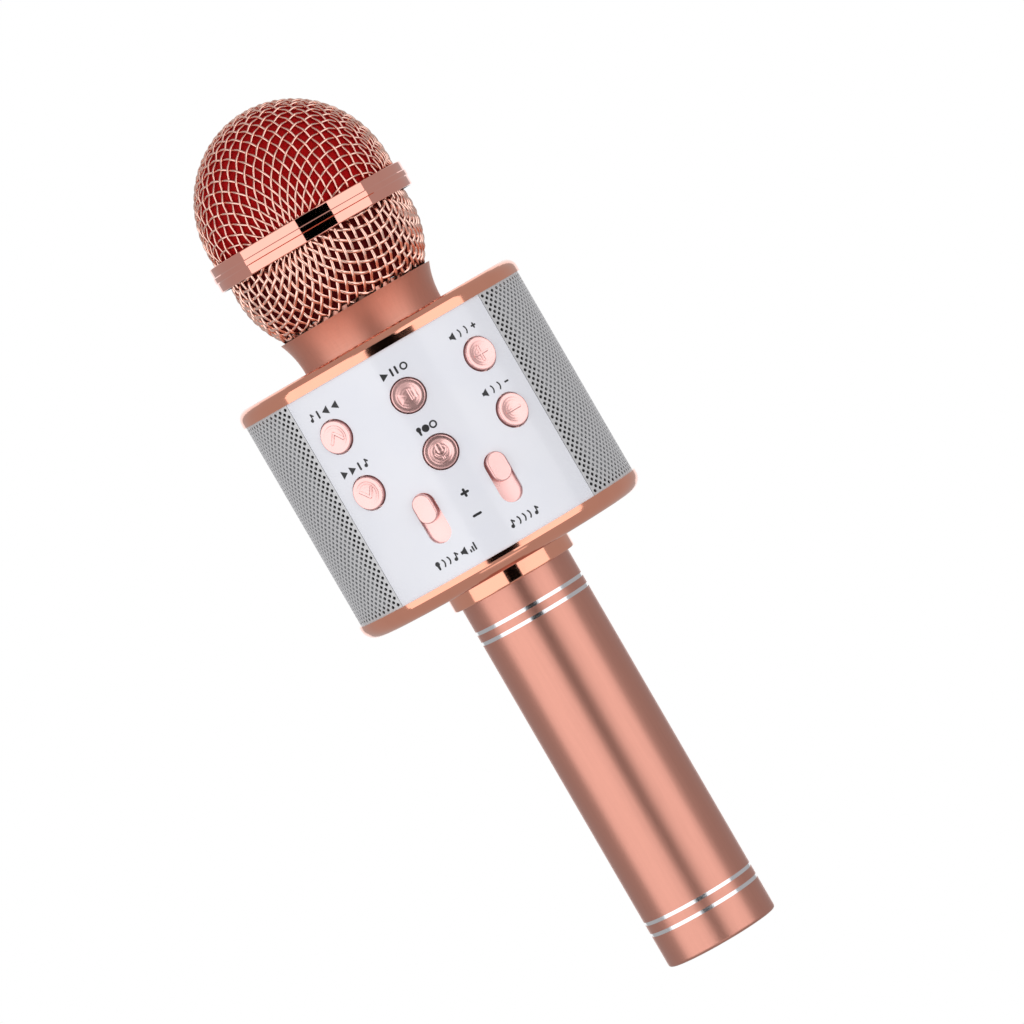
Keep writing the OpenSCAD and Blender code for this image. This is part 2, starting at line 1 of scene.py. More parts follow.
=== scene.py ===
"""Looks of a karaoke microphone: a woven ball grille, a drum-shaped speaker body and a tubular handle.

Everything is in metres in the CAD model's frame: Z runs up the axis and the control panel faces -Y.
On the drum's face, angles are in degrees round the axis from the panel's middle, positive to the right.
"""

import math

import bmesh
import bpy
import numpy as np
from mathutils import Matrix, Vector


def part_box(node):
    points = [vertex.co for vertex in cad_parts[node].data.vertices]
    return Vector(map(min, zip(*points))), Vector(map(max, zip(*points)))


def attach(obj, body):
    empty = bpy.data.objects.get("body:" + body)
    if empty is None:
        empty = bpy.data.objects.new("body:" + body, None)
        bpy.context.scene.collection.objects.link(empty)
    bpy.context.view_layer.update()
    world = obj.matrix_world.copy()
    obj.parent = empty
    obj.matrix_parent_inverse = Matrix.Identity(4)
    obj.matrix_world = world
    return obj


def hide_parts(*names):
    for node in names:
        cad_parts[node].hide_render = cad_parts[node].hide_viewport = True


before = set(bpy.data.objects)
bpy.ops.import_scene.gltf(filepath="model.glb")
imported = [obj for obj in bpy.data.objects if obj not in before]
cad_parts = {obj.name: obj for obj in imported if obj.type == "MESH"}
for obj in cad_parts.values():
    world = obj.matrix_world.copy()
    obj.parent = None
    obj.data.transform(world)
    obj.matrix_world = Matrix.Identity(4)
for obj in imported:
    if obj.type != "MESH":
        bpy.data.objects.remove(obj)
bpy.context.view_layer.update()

MM = 0.001
BODY = "drum_and_handle"
HEAD = "grille_head"


def low(node):
    """The lowest corner of a CAD node's box."""
    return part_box(node)[0]


def high(node):
    """The highest corner of a CAD node's box."""
    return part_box(node)[1]


def middle_height(node):
    return (low(node).z + high(node).z) / 2


# ---- sizes taken from the frame ----

PANEL_R = high("back_panel").y
PANEL_LOW = low("front_panel").z
PANEL_HIGH = high("front_panel").z
BALL_R = high("grille_upper").x
BALL_TOP = high("grille_upper").z
BOWL_R = high("grille_lower").x
CAD_BEAD_RISE = 0.45 * MM
RING_R = high("grille_ring").x - CAD_BEAD_RISE
FOAM_SPLIT = low("foam_upper").z
PLATE_TOP = high("top_plate").z
CAP_TOP = -low("button_play").y
FLANGE_R = high("button_play").x
SWITCH_TOP = -high("button_play").y
KNOB_RISE = 1.6 * MM  # of a slider's face over the panel

# ---- colours ----


def rgb(red, green, blue):
    """A display colour from 0 to 255 as a linear one."""
    shares = [c / 255 for c in (red, green, blue)]
    return tuple(((c + 0.055) / 1.055) ** 2.4 if c > 0.04 else c / 12.92 for c in shares)


ROSE = rgb(210, 149, 133)
SATIN = rgb(218, 166, 149)
COPPER = rgb(248, 172, 146)
BLUSH = rgb(247, 174, 158)
PINK = rgb(250, 199, 195)
WIRE = rgb(255, 208, 192)
SILVER = rgb(232, 232, 236)


class Look:
    """A material with one Principled shader, and short ways to add nodes to it."""

    def __init__(self, name, colour, roughness, metallic=0.0, **constants):
        self.material = bpy.data.materials.new(name)
        self.material.use_nodes = True
        self.tree = self.material.node_tree
        self.shader = self.tree.nodes["Principled BSDF"]
        self.colour = colour
        self.shader.inputs["Base Color"].default_value = (*colour, 1)
        self.shader.inputs["Roughness"].default_value = roughness
        self.shader.inputs["Metallic"].default_value = metallic
        for socket, value in constants.items():
            self.shader.inputs[socket.replace("_", " ")].default_value = value
        self.place = self.node("ShaderNodeTexCoord").outputs["Object"]
        self.normal = None

    def node(self, kind, inputs=None, **settings):
        node = self.tree.nodes.new(kind)
        for name, value in settings.items():
            setattr(node, name, value)
        for name, value in (inputs or {}).items():
            if isinstance(value, bpy.types.NodeSocket):
                self.tree.links.new(value, node.inputs[name])
            else:
                node.inputs[name].default_value = value
        return node

    def calc(self, operation, *values):
        """A Math node's result."""
        inputs = dict(enumerate(values))
        return self.node("ShaderNodeMath", inputs, operation=operation).outputs[0]

    def stretched(self, stretch):
        """The place with each axis scaled, so that a texture runs long where the scale is small."""
        return self.node("ShaderNodeMapping", {"Vector": self.place, "Scale": stretch}).outputs[0]

    def height(self):
        return self.node("ShaderNodeSeparateXYZ", {"Vector": self.place}).outputs["Z"]

    def round_place(self):
        """Distance from the axis and height, so that a texture makes rings as a lathe does."""
        split = self.node("ShaderNodeSeparateXYZ", {"Vector": self.place}).outputs
        squares = [self.calc("MULTIPLY", split[axis], split[axis]) for axis in ("X", "Y")]
        radius = self.calc("SQRT", self.calc("ADD", *squares))
        return self.node("ShaderNodeCombineXYZ", {"X": radius, "Z": split["Z"]}).outputs[0]

    def noise(self, size, place=None, detail=2.0):
        """Noise between 0 and 1 with features about this size across."""
        inputs = {"Vector": place or self.place, "Scale": 1 / size, "Detail": detail}
        return self.node("ShaderNodeTexNoise", inputs).outputs["Fac"]

    def cells(self, size):
        """Distance to the nearest of many scattered points about this far apart, in units of size."""
        inputs = {"Vector": self.place, "Scale": 1 / size}
        return self.node("ShaderNodeTexVoronoi", inputs).outputs["Distance"]

    def ramp(self, value, start, end, first=0.0, last=1.0):
        """Maps start to first and end to last, and holds what lies beyond."""
        inputs = {"Value": value, "From Min": start, "From Max": end, "To Min": first, "To Max": last}
        return self.node("ShaderNodeMapRange", inputs).outputs["Result"]

    def paint(self, share, colour):
        """Mixes another colour over what is there, by a share between 0 and 1."""
        mix = self.node("ShaderNodeMix", data_type="RGBA")
        self.tree.links.new(share, mix.inputs[0])
        below = self.shader.inputs["Base Color"]
        if below.links:
            self.tree.links.new(below.links[0].from_socket, mix.inputs[6])
        else:
            mix.inputs[6].default_value = (*self.colour, 1)
        mix.inputs[7].default_value = (*colour, 1)
        self.tree.links.new(mix.outputs[2], below)

    def rough(self, value):
        self.tree.links.new(value, self.shader.inputs["Roughness"])

    def bump(self, value, depth):
        """Raises the surface by up to this depth where the value is 1."""
        inputs = {"Height": value, "Distance": depth, "Strength": 1.0}
        if self.normal:
            inputs["Normal"] = self.normal
        self.normal = self.node("ShaderNodeBump", inputs).outputs["Normal"]
        self.tree.links.new(self.normal, self.shader.inputs["Normal"])


def darker(colour, share):
    return tuple(c * share for c in colour)


# ---- materials, one for each of the record's slots and two more ----

BAND_HEIGHTS = [9.6 * MM, 12.9 * MM, 96.1 * MM, 99.1 * MM]
BAND_WIDTH = 1.0 * MM
BAND_POLISH = 0.16  # how much smoother the bands are than the tube


def anodised(name, colour, roughness, bands=()):
    """Blasted and anodised aluminium, with any bands at these heights cut bright."""
    look = Look(name, colour, roughness, 1.0)
    grain = look.noise(0.25 * MM, detail=3)
    streaks = look.noise(0.9 * MM, look.stretched((1, 1, 0.06)))
    look.paint(look.ramp(streaks, 0.35, 0.75, 0, 0.2), darker(colour, 0.8))
    satin = look.ramp(grain, 0.3, 0.7, roughness - 0.05, roughness + 0.04)
    height = look.height()
    for middle in bands:
        band = look.calc("COMPARE", height, middle, BAND_WIDTH / 2)
        look.paint(band, SILVER)
        satin = look.calc("MULTIPLY_ADD", band, -BAND_POLISH, satin)
    look.rough(satin)
    look.bump(grain, 0.006 * MM)
    look.bump(streaks, 0.004 * MM)
    return look


TOP_SATIN = 0.34  # how much rougher the top plate's flat face is than its edge
TOP_REACH = 0.03 * MM  # how far from its height a point still counts as on that face


def plated(name, colour, roughness, ring_depth, metallic=1.0):
    """Polished and plated metal with faint turning rings and smears. A flat top at PLATE_TOP is satin."""
    look = Look(name, colour, roughness, metallic)
    rings = look.noise(0.12 * MM, look.round_place(), detail=1)
    smears = look.noise(7 * MM, look.stretched((1, 1, 0.4)), detail=4)
    look.paint(look.ramp(smears, 0.45, 0.8, 0, 0.3), darker(colour, 0.85))
    polish = look.ramp(smears, 0.3, 0.75, roughness * 0.8, roughness * 1.35)
    flat_top = look.calc("COMPARE", look.height(), PLATE_TOP, TOP_REACH)
    look.rough(look.calc("MULTIPLY_ADD", flat_top, TOP_SATIN, polish))
    look.bump(rings, ring_depth)
    return look


def grille_wire():
    """Plated wire, tarnished in spots."""
    look = Look("grille_wire", WIRE, 0.18, 1.0)
    tarnish = look.noise(0.8 * MM, detail=3)
    look.paint(look.ramp(tarnish, 0.5, 0.8, 0, 0.4), darker(WIRE, 0.7))
    look.rough(look.ramp(tarnish, 0.3, 0.7, 0.13, 0.24))
    look.bump(look.noise(0.12 * MM), 0.004 * MM)
    return look


def white_panel():
    """Glossy lacquer on white plastic, very slightly wavy."""
    look = Look("white_panel", rgb(230, 231, 238), 0.2, Coat_Weight=0.4, Coat_Roughness=0.08)
    clouds = look.noise(14 * MM, detail=2)
    look.paint(look.ramp(clouds, 0.4, 0.7, 0, 0.5), rgb(225, 227, 236))
    look.rough(look.ramp(clouds, 0.3, 0.7, 0.17, 0.24))
    look.bump(look.noise(1.6 * MM), 0.004 * MM)
    return look


def perforated_sheet():
    """Brushed and lacquered sheet metal."""
    look = Look("perforated_sheet", rgb(228, 228, 230), 0.38, 0.7)
    grain = look.noise(0.2 * MM, look.stretched((1, 1, 0.3)), detail=3)
    look.paint(look.ramp(grain, 0.4, 0.7, 0, 0.5), rgb(200, 200, 203))
    look.rough(look.ramp(grain, 0.3, 0.7, 0.32, 0.45))
    look.bump(grain, 0.004 * MM)
    return look


def foam(name, colour):
    """Open-cell foam: pores painted in shade towards their middles, with thin walls between them."""
    look = Look(name, colour, 0.95, Specular_IOR_Level=0.1)
    pores = look.cells(0.55 * MM)
    fine = look.cells(0.22 * MM)
    # Painted shade: each pore, large and fine, is darker towards its middle.
    look.paint(look.ramp(pores, 0.25, 0.6, 0.55, 0), darker(colour, 0.45))
    look.paint(look.ramp(fine, 0.2, 0.5, 0.3, 0), darker(colour, 0.5))
    look.bump(pores, 0.12 * MM)
    look.bump(fine, 0.04 * MM)
    return look


def grey_cloth():
    """Plain-woven speaker cloth: threads across and up the wall."""
    look = Look("grey_cloth", rgb(206, 208, 210), 0.85, Sheen_Weight=0.2, Sheen_Roughness=0.5)
    threads = {"Vector": look.place, "Scale": 1 / (0.5 * MM), "Distortion": 0.6}
    weave = look.node("ShaderNodeTexMagic", threads, turbulence_depth=1).outputs["Fac"]
    fibres = look.noise(0.15 * MM, detail=3)
    look.paint(look.ramp(weave, 0.3, 0.8, 0, 0.5), rgb(150, 153, 156))
    look.paint(look.ramp(fibres, 0.5, 0.8, 0, 0.4), rgb(232, 233, 235))
    look.bump(weave, 0.06 * MM)
    return look


def black_plastic():
    """Moulded plastic with a fine spark-eroded texture."""
    look = Look("black_plastic", rgb(30, 30, 33), 0.45)
    texture = look.noise(0.35 * MM, detail=3)
    look.paint(look.ramp(texture, 0.4, 0.7, 0, 0.5), rgb(44, 44, 48))
    look.rough(look.ramp(texture, 0.3, 0.7, 0.38, 0.55))
    look.bump(texture, 0.01 * MM)
    return look


def black_rubber():
    """Rubber with a little dust on it."""
    look = Look("black_rubber", rgb(26, 26, 27), 0.7)
    dust = look.noise(0.6 * MM, detail=4)
    look.paint(look.ramp(dust, 0.5, 0.8, 0, 0.5), rgb(60, 59, 58))
    look.bump(look.noise(0.2 * MM), 0.01 * MM)
    return look


def steel():
    """Machined steel with turning marks."""
    look = Look("steel", rgb(190, 192, 196), 0.28, 1.0)
    rings = look.noise(0.15 * MM, look.stretched((1, 1, 6)), detail=2)
    look.paint(look.ramp(rings, 0.4, 0.8, 0, 0.5), rgb(150, 152, 156))
    look.rough(look.ramp(rings, 0.3, 0.7, 0.22, 0.38))
    look.bump(rings, 0.004 * MM)
    return look


def magnet_iron():
    """Sintered ferrite and dull iron."""
    look = Look("magnet_iron", rgb(74, 74, 78), 0.6, 0.3)
    grains = look.cells(0.4 * MM)
    look.paint(look.ramp(grains, 0.1, 0.6), rgb(52, 52, 56))
    look.bump(grains, 0.01 * MM)
    return look


def tin_plate():
    """Bright tinned sheet with the spangle of its crystals."""
    look = Look("tin_plate", rgb(206, 206, 200), 0.25, 1.0)
    spangle = look.cells(1.2 * MM)
    look.paint(look.ramp(spangle, 0.2, 0.7, 0, 0.6), rgb(180, 182, 180))
    look.rough(look.ramp(spangle, 0.1, 0.7, 0.2, 0.36))
    look.bump(look.noise(0.4 * MM), 0.004 * MM)
    return look


def cone_paper():
    """Pressed paper with its fibres showing."""
    look = Look("cone_paper", rgb(44, 44, 48), 0.8)
    fibres = look.noise(0.5 * MM, look.stretched((1, 3, 1)), detail=4)
    look.paint(look.ramp(fibres, 0.45, 0.75), rgb(70, 70, 74))
    look.bump(fibres, 0.03 * MM)
    return look


def circuit_board():
    """Solder mask with copper tracks just showing through."""
    look = Look("circuit_board", rgb(22, 88, 52), 0.35)
    bricks = {"Vector": look.place, "Scale": 1 / (6 * MM), "Mortar Size": 0.06}
    tracks = look.node("ShaderNodeTexBrick", bricks).outputs["Fac"]
    look.paint(look.ramp(tracks, 0.3, 0.7, 0, 0.8), rgb(40, 120, 74))
    look.rough(look.ramp(look.noise(2 * MM), 0.3, 0.7, 0.3, 0.42))
    look.bump(tracks, 0.02 * MM)
    return look


def cell_wrap():
    """The battery's shrink wrap, lightly creased."""
    look = Look("cell_wrap", rgb(38, 92, 176), 0.3)
    creases = look.noise(5 * MM, look.stretched((1, 1, 0.2)), detail=2)
    look.paint(look.ramp(creases, 0.4, 0.7, 0, 0.5), rgb(30, 74, 150))
    look.bump(creases, 0.05 * MM)
    return look


def wire_sheath():
    """Soft plastic insulation."""
    look = Look("wire_sheath", rgb(176, 26, 30), 0.4)
    length = look.noise(1.5 * MM, look.stretched((1, 1, 0.3)), detail=2)
    look.paint(look.ramp(length, 0.4, 0.7, 0, 0.5), rgb(150, 20, 24))
    look.bump(length, 0.01 * MM)
    return look


def lamp_red():
    """The tinted lens of the status lamp."""
    look = Look("lamp_red", rgb(220, 30, 34), 0.12, Transmission_Weight=0.6, IOR=1.5)
    depth = look.noise(0.6 * MM)
    look.paint(look.ramp(depth, 0.4, 0.7, 0, 0.4), rgb(255, 90, 80))
    look.bump(depth, 0.01 * MM)
    return look


def build_looks():
    """Every material by its name. The record's slots have the same names."""
    return {
        "rose_anodised": anodised("rose_anodised", ROSE, 0.33, BAND_HEIGHTS),
        "rose_satin": anodised("rose_satin", SATIN, 0.42),
        "copper_plated": plated("copper_plated", COPPER, 0.09, 0.0004 * MM),
        "blush_plated": plated("blush_plated", BLUSH, 0.04, 0.0001 * MM),
        "pink_plated": plated("pink_plated", PINK, 0.24, 0.0005 * MM, metallic=0.85),
        "grille_wire": grille_wire(),
        "white_panel": white_panel(),
        "perforated_sheet": perforated_sheet(),
        "black_plastic": black_plastic(),
        "bright_red_foam": foam("bright_red_foam", rgb(172, 14, 16)),
        # The lower foam's darker red is painted shade: a shaded copy of the upper foam's red.
        "dark_red_foam": foam("dark_red_foam", rgb(78, 5, 6)),
        "grey_cloth": grey_cloth(),
        "black_rubber": black_rubber(),
        "steel": steel(),
        "magnet_iron": magnet_iron(),
        "tin_plate": tin_plate(),
        "cone_paper": cone_paper(),
        "circuit_board": circuit_board(),
        "cell_wrap": cell_wrap(),
        "wire_sheath": wire_sheath(),
        "lamp_red": lamp_red(),
    }


OWN_LOOKS = {"neck_collar": "rose_satin"}


def dress_cad_nodes():
    """Gives every CAD node the material of its slot, or one of its own."""
    for name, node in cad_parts.items():
        for holder in node.material_slots:
            slot = OWN_LOOKS.get(name, holder.material.name.split(".")[0])
            holder.material = looks[slot].material


# ---- mesh helpers ----


WELD_REACH = 0.0002 * MM


def add_piece(name, points, faces, slot, body, nodes=(), sharp=35, closed=True):
    """A piece in its slot's material that rides on a body and may stand for CAD nodes.

    Edges that turn by more than sharp degrees stay crisp.
    """
    mesh = bpy.data.meshes.new(name)
    mesh.from_pydata([tuple(p) for p in points], [], faces)
    shape = bmesh.new()
    shape.from_mesh(mesh)
    bmesh.ops.remove_doubles(shape, verts=shape.verts, dist=WELD_REACH)
    if closed:
        bmesh.ops.recalc_face_normals(shape, faces=shape.faces)
    shape.to_mesh(mesh)
    shape.free()
    mesh.shade_smooth()
    mesh.set_sharp_from_angle(angle=math.radians(sharp))
    mesh.materials.append(looks[slot].material)
    piece = bpy.data.objects.new(name, mesh)
    bpy.context.scene.collection.objects.link(piece)
    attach(piece, body)
    if nodes:
        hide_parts(*nodes)
    return piece


def join(parts):
    """Several (points, faces) as one."""
    points, faces = [], []
    for more_points, more_faces in parts:
        faces += [[index + len(points) for index in face] for face in more_faces]
        points += [tuple(p) for p in more_points]
    return points, faces


def moved(part, matrix):
    """A part with its points put through a matrix."""
    points, faces = part
    return [tuple(matrix @ Vector(p)) for p in points], faces


def rings(rows, closed_rows=True, capped=True):
    """Joins rows of points, all of the same length, with quads, and may cap the first and last."""
    count = len(rows[0])
    points = [tuple(p) for row in rows for p in row]
    faces = []
    for i in range(len(rows) - 1):
        for k in range(count if closed_rows else count - 1):
            here = i * count + k
            beside = i * count + (k + 1) % count
            faces.append((here, beside, beside + count, here + count))
    if capped:
        faces.append(tuple(range(count)))
        faces.append(tuple(range(len(points) - count, len(points))))
    return points, faces


def block(corner, far_corner):
    """A box between two opposite corners."""
    (x0, y0, z0), (x1, y1, z1) = corner, far_corner
    return rings([[(x0, y0, z), (x1, y0, z), (x1, y1, z), (x0, y1, z)] for z in (z0, z1)])


def turned(outline, segments=96):
    """A closed shape turned about Z. Its outline starts and ends on the axis, or is a closed loop."""
    on_axis = outline[0][0] == 0
    path = outline if on_axis else outline + outline[:1]
    circle = [(math.cos(a), math.sin(a)) for a in np.linspace(0, 2 * math.pi, segments, endpoint=False)]
    return rings([[(r * c, r * s, z) for c, s in circle] for r, z in path], capped=False)


def arc(centre_r, centre_z, radius, start, end, steps=6):
    """Points on an arc of an outline, its angles in degrees from outwards towards up."""
    angles = np.radians(np.linspace(start, end, steps + 1))
    return [(centre_r + radius * math.cos(a), centre_z + radius * math.sin(a)) for a in angles]


def on_face(angle, height):
    """A place on the axis at this height: x runs round to the right, y up and z out through the face."""
    a = math.radians(angle)
    return Matrix(((math.cos(a), 0, math.sin(a), 0), (math.sin(a), 0, -math.cos(a), 0),
                   (0, 1, 0, height), (0, 0, 0, 1)))


# ---- strokes: flat marks made of stations of (x, y, half width) ----


STATION_GAP = 0.4


def rounded(points, half):
    """Stations of a stroke of even width with round ends."""
    points = np.array(points, float)
    first = (points[0] - points[1]) / np.linalg.norm(points[0] - points[1])
    last = (points[-1] - points[-2]) / np.linalg.norm(points[-1] - points[-2])
    turns = np.radians([85, 65, 45, 22])
    start = [(*(points[0] + half * math.sin(t) * first), half * math.cos(t)) for t in turns]
    end = [(*(points[-1] + half * math.sin(t) * last), half * math.cos(t)) for t in turns[::-1]]
    return start + [(*p, half) for p in points] + end


def line(start, end, half):
    """A straight stroke with a station about every STATION_GAP."""
    count = 2 + int(math.dist(start, end) / STATION_GAP)
    return rounded(np.linspace(start, end, count), half)


def bow(centre, radius, start, end, half):
    """A stroke along an arc, its angles in degrees."""
    return rounded(arc(*centre, radius, start, end, steps=19), half)


def spot(centre, radius):
    """A filled circle."""
    turns = np.radians(np.linspace(175, 5, 15))
    return [(centre[0] + radius * math.cos(t), centre[1], radius * math.sin(t)) for t in turns]


def wedge(start, end, half_start, half_end=0.02):
    """A filled triangle or trapezium along X or Y."""
    shares = np.linspace(0, 1, 5)
    return [(start[0] + (end[0] - start[0]) * t, start[1] + (end[1] - start[1]) * t,
             half_start + (half_end - half_start) * t) for t in shares]


def stroke_solid(stations, base, top, bevel=0.0, drop=0.0):
    """A stroke as a closed strip between two heights, its upper edges bevelled this wide and deep."""
    spots = np.array(stations, float)
    along = np.gradient(spots[:, :2], axis=0)
    along /= np.linalg.norm(along, axis=1)[:, None]
    across = np.stack([-along[:, 1], along[:, 0]], axis=1)
    rows = []
    for (x, y, half), (ax, ay) in zip(spots, across):
        inner = max(half - bevel, half * 0.3)
        left = [(-half, base), (-half, top - drop), (-inner, top)]
        right = [(-side, level) for side, level in reversed(left)]
        rows.append([(x + ax * side, y + ay * side, level) for side, level in left + right])
    return rings(rows)


# Pictograms one unit high, about y = 0: each is its width and its strokes
PICTOGRAMS = {
    "bar": (0.24, [line((0.12, -0.36), (0.12, 0.36), 0.12)]),
    "back": (0.8, [wedge((0.8, 0), (0, 0), 0.48)]),
    "ahead": (0.8, [wedge((0, 0), (0.8, 0), 0.48)]),
    "dot": (0.84, [spot((0.42, 0), 0.42)]),
    "ring": (0.9, [bow((0.45, 0), 0.36, 0, 350, 0.09)]),
    "plus": (0.7, [line((0.1, 0), (0.6, 0), 0.1), line((0.35, -0.25), (0.35, 0.25), 0.1)]),
    "minus": (0.6, [line((0.1, 0), (0.5, 0), 0.1)]),
    "note": (0.7, [spot((0.24, -0.28), 0.21), line((0.38, -0.26), (0.38, 0.4), 0.07),
                   line((0.38, 0.4), (0.62, 0.14), 0.09)]),
    "speaker": (0.66, [wedge((0, 0), (0.26, 0), 0.19, 0.19), wedge((0.22, 0), (0.66, 0), 0.19, 0.48)]),
    "wave": (0.34, [bow((-0.36, 0), 0.6, -42, 42, 0.08)]),
    "microphone": (0.56, [spot((0.28, 0.22), 0.27), wedge((0.28, -0.02), (0.28, -0.5), 0.16, 0.1)]),
    "levels": (0.82, [line((0.1, -0.4), (0.1, -0.2), 0.09), line((0.41, -0.4), (0.41, 0.05), 0.09),
                      line((0.72, -0.4), (0.72, 0.38), 0.09)]),
    "card": (0.8, [line((0.09, -0.4), (0.09, 0.4), 0.08), line((0.09, 0.4), (0.45, 0.4), 0.08),
                   line((0.45, 0.4), (0.71, 0.12), 0.08), line((0.71, 0.12), (0.71, -0.4), 0.08),
                   line((0.71, -0.4), (0.09, -0.4), 0.08)]),
    "headphones": (0.96, [bow((0.48, -0.08), 0.4, 0, 180, 0.07), line((0.1, -0.12), (0.1, -0.34), 0.11),
                          line((0.86, -0.12), (0.86, -0.34), 0.11)]),
    "bolt": (0.56, [wedge((0.38, 0.48), (0.12, -0.06), 0.12, 0.16),
                    wedge((0.44, 0.06), (0.16, -0.48), 0.16)]),
    "power": (0.9, [bow((0.45, -0.04), 0.36, 120, 420, 0.08), line((0.45, 0.08), (0.45, 0.42), 0.08)]),
}
LABEL_HEIGHT = 2.3  # in millimetres, as all sizes of labels are
BACK_LABEL_HEIGHT = 3.2
INK_THICK = 0.04
INK_DEPTH = 0.05  # how far ink reaches into the panel
INK_STEP = 0.003


def label_strokes(words, width, height=LABEL_HEIGHT):
    """Strokes of a row of pictograms that fills a width, in millimetres about its middle."""
    widths = [PICTOGRAMS[word][0] * height for word in words]
    gap = (width - sum(widths)) / max(len(words) - 1, 1)
    x = -width / 2 if len(words) > 1 else -widths[0] / 2
    strokes = []
    for word, own_width in zip(words, widths):
        for stations in PICTOGRAMS[word][1]:
            strokes.append([(x + sx * height, sy * height, half * height) for sx, sy, half in stations])
        x += own_width + gap
    return strokes


def print_on_drum(name, strokes, angle, height):
    """Ink on the drum's face. Each stroke is a touch thicker than the last, so that none coincide."""
    parts = []
    for count, stations in enumerate(strokes):
        points, faces = stroke_solid(stations, -INK_DEPTH, INK_THICK + INK_STEP * count)
        wrapped = []
        for x, y, out in points:
            turn = math.radians(angle) + x * MM / PANEL_R
            reach = PANEL_R + out * MM
            wrapped.append((reach * math.sin(turn), -reach * math.cos(turn), height + y * MM))
        parts.append((wrapped, faces))
    points, faces = join(parts)
    return add_piece(name, points, faces, "black_plastic", BODY)


# ---- the woven head ----

WIRE_SIDES = 8
RING_STEP = 3  # steps of the net between a wire's rings of points
NET_REACH = 1.95  # how far the net runs from its pole, in radians


def cloth_on_sphere(step, count):
    """Crossings of a square-woven cloth pressed over a unit sphere from its pole, as an array of points.

    The cloth's cells keep their sides and only shear. Crossing i, j is at [i + count, j + count].
    """
    grid = np.zeros((count + 1, count + 1, 3))
    turns = step * np.arange(count + 1)
    grid[:, 0, 0] = np.sin(turns)
    grid[:, 0, 2] = np.cos(turns)
    grid[0, :, 1] = np.sin(turns)
    grid[0, :, 2] = np.cos(turns)
    for total in range(2, 2 * count + 1):
        i = np.arange(max(1, total - count), min(count, total - 1) + 1)
        j = total - i
        normal = np.cross(grid[i - 1, j], grid[i, j - 1])
        normal /= np.linalg.norm(normal, axis=1)[:, None]
        corner = grid[i - 1, j - 1]
        grid[i, j] = corner - 2 * np.sum(corner * normal, axis=1)[:, None] * normal
    lines = np.arange(-count, count + 1)
    whole = grid[np.abs(lines)][:, np.abs(lines)]
    whole[..., 0] *= np.sign(lines)[:, None]
    whole[..., 1] *= np.sign(lines)[None, :]
    return whole


def wire_tube(path, normals, radius):
    """A round wire along a path, with flat ends. The normals point out of the cloth."""
    along = np.gradient(path, axis=0)
    along /= np.linalg.norm(along, axis=1)[:, None]
    sides = np.cross(along, normals)
    sides /= np.linalg.norm(sides, axis=1)[:, None]
    ups = np.cross(sides, along)
    angles = np.linspace(0, 2 * math.pi, WIRE_SIDES, endpoint=False)
    rows = [[p + radius * (math.cos(a) * u + math.sin(a) * s) for a in angles]
            for p, u, s in zip(path, ups, sides)]
    return rings(rows)


def pressed_cloth(net, turn, net_middle, net_rise, middle, rise, radius):
    """The net's crossings on a spheroid about middle, and the directions out of it.

    The net's pole is at net_middle + net_rise, and turn is the angle of its wires round the axis in degrees.
    """
    c, s = math.cos(math.radians(turn)), math.sin(math.radians(turn))
    east = c * net[..., 0] - s * net[..., 1]
    north = s * net[..., 0] + c * net[..., 1]
    heights = net_middle + net_rise * net[..., 2]
    shares = np.clip(1 - ((heights - middle) / rise) ** 2, 0, 1)
    reach = np.hypot(east, north) + 1e-9
    scale = radius * np.sqrt(shares) / reach
    places = np.stack([east * scale, north * scale, heights], axis=-1)
    outwards = np.stack([places[..., 0], places[..., 1], (heights - middle) * (radius / rise) ** 2], axis=-1)
    outwards /= np.linalg.norm(outwards, axis=-1)[..., None] + 1e-12
    return places, outwards


def woven_grille(name, node, pitch, gaps, phases, wire_d, crimp, net_rise, span, **press):
    """Half of the ball: two families of wires that pass over and under each other, within a span of heights.

    The first family's wires are pitch radians apart, and each family's are as many steps of the net apart as
    gaps says. Its phase is the share of a gap by which it is shifted. A crimp of 0.5 lets crossing wires just
    touch, and less presses them into each other. What press holds goes to pressed_cloth.
    """
    step = pitch / gaps[0]
    count = int(NET_REACH / step)
    places, outwards = pressed_cloth(cloth_on_sphere(step, count), net_rise=net_rise, **press)
    heights = places[..., 2]
    inside = (heights >= span[0]) & (heights <= span[1])
    beyond = heights < span[0] if net_rise > 0 else heights > span[1]
    parts = []
    for family, gap, other_gap in ((0, *gaps), (1, *gaps[::-1])):
        own_phase = round(phases[family] * gap)
        other_phase = round(phases[1 - family] * other_gap)
        for own in range(own_phase - count // gap * gap, count, gap):
            if own + count < 0:
                continue
            take = (own + count,) if family == 0 else (slice(None), own + count)
            stop = np.flatnonzero(beyond[take])
            before = stop[stop < count].max(initial=-1)
            after = stop[stop > count].min(initial=2 * count + 1)
            if before + 1 >= after or beyond[take][count]:
                continue
            wave_turn = np.pi * (np.arange(-count, count + 1) - other_phase) / other_gap
            side = 1 if ((own - own_phase) // gap + family) % 2 == 0 else -1
            wave = side * wire_d * crimp * np.cos(wave_turn)
            path = places[take] + outwards[take] * wave[:, None]
            kept = [k for k in range(before + 1, after) if inside[take][k]]
            for run in runs_of(kept):
                picks = run[::RING_STEP] + ([run[-1]] if (len(run) - 1) % RING_STEP else [])
                if len(picks) > 2:
                    parts.append(wire_tube(path[picks], outwards[take][picks], wire_d / 2))
    points, faces = join(parts)
    return add_piece(name, points, faces, "grille_wire", HEAD, [node], sharp=50)


def runs_of(numbers):
    """Splits a rising list of whole numbers where it skips."""
    runs = []
    for number in numbers:
        if runs and number == runs[-1][-1] + 1:
            runs[-1].append(number)
        else:
            runs.append([number])
    return runs


UPPER_WIRE = 0.56 * MM
LOWER_WIRE = 0.95 * MM
DOME_RISE = 28 * MM  # of the dome's top over its widest place
BOWL_MIDDLE = high("grille_lower").z - 6.75 * MM  # where the bowl is widest


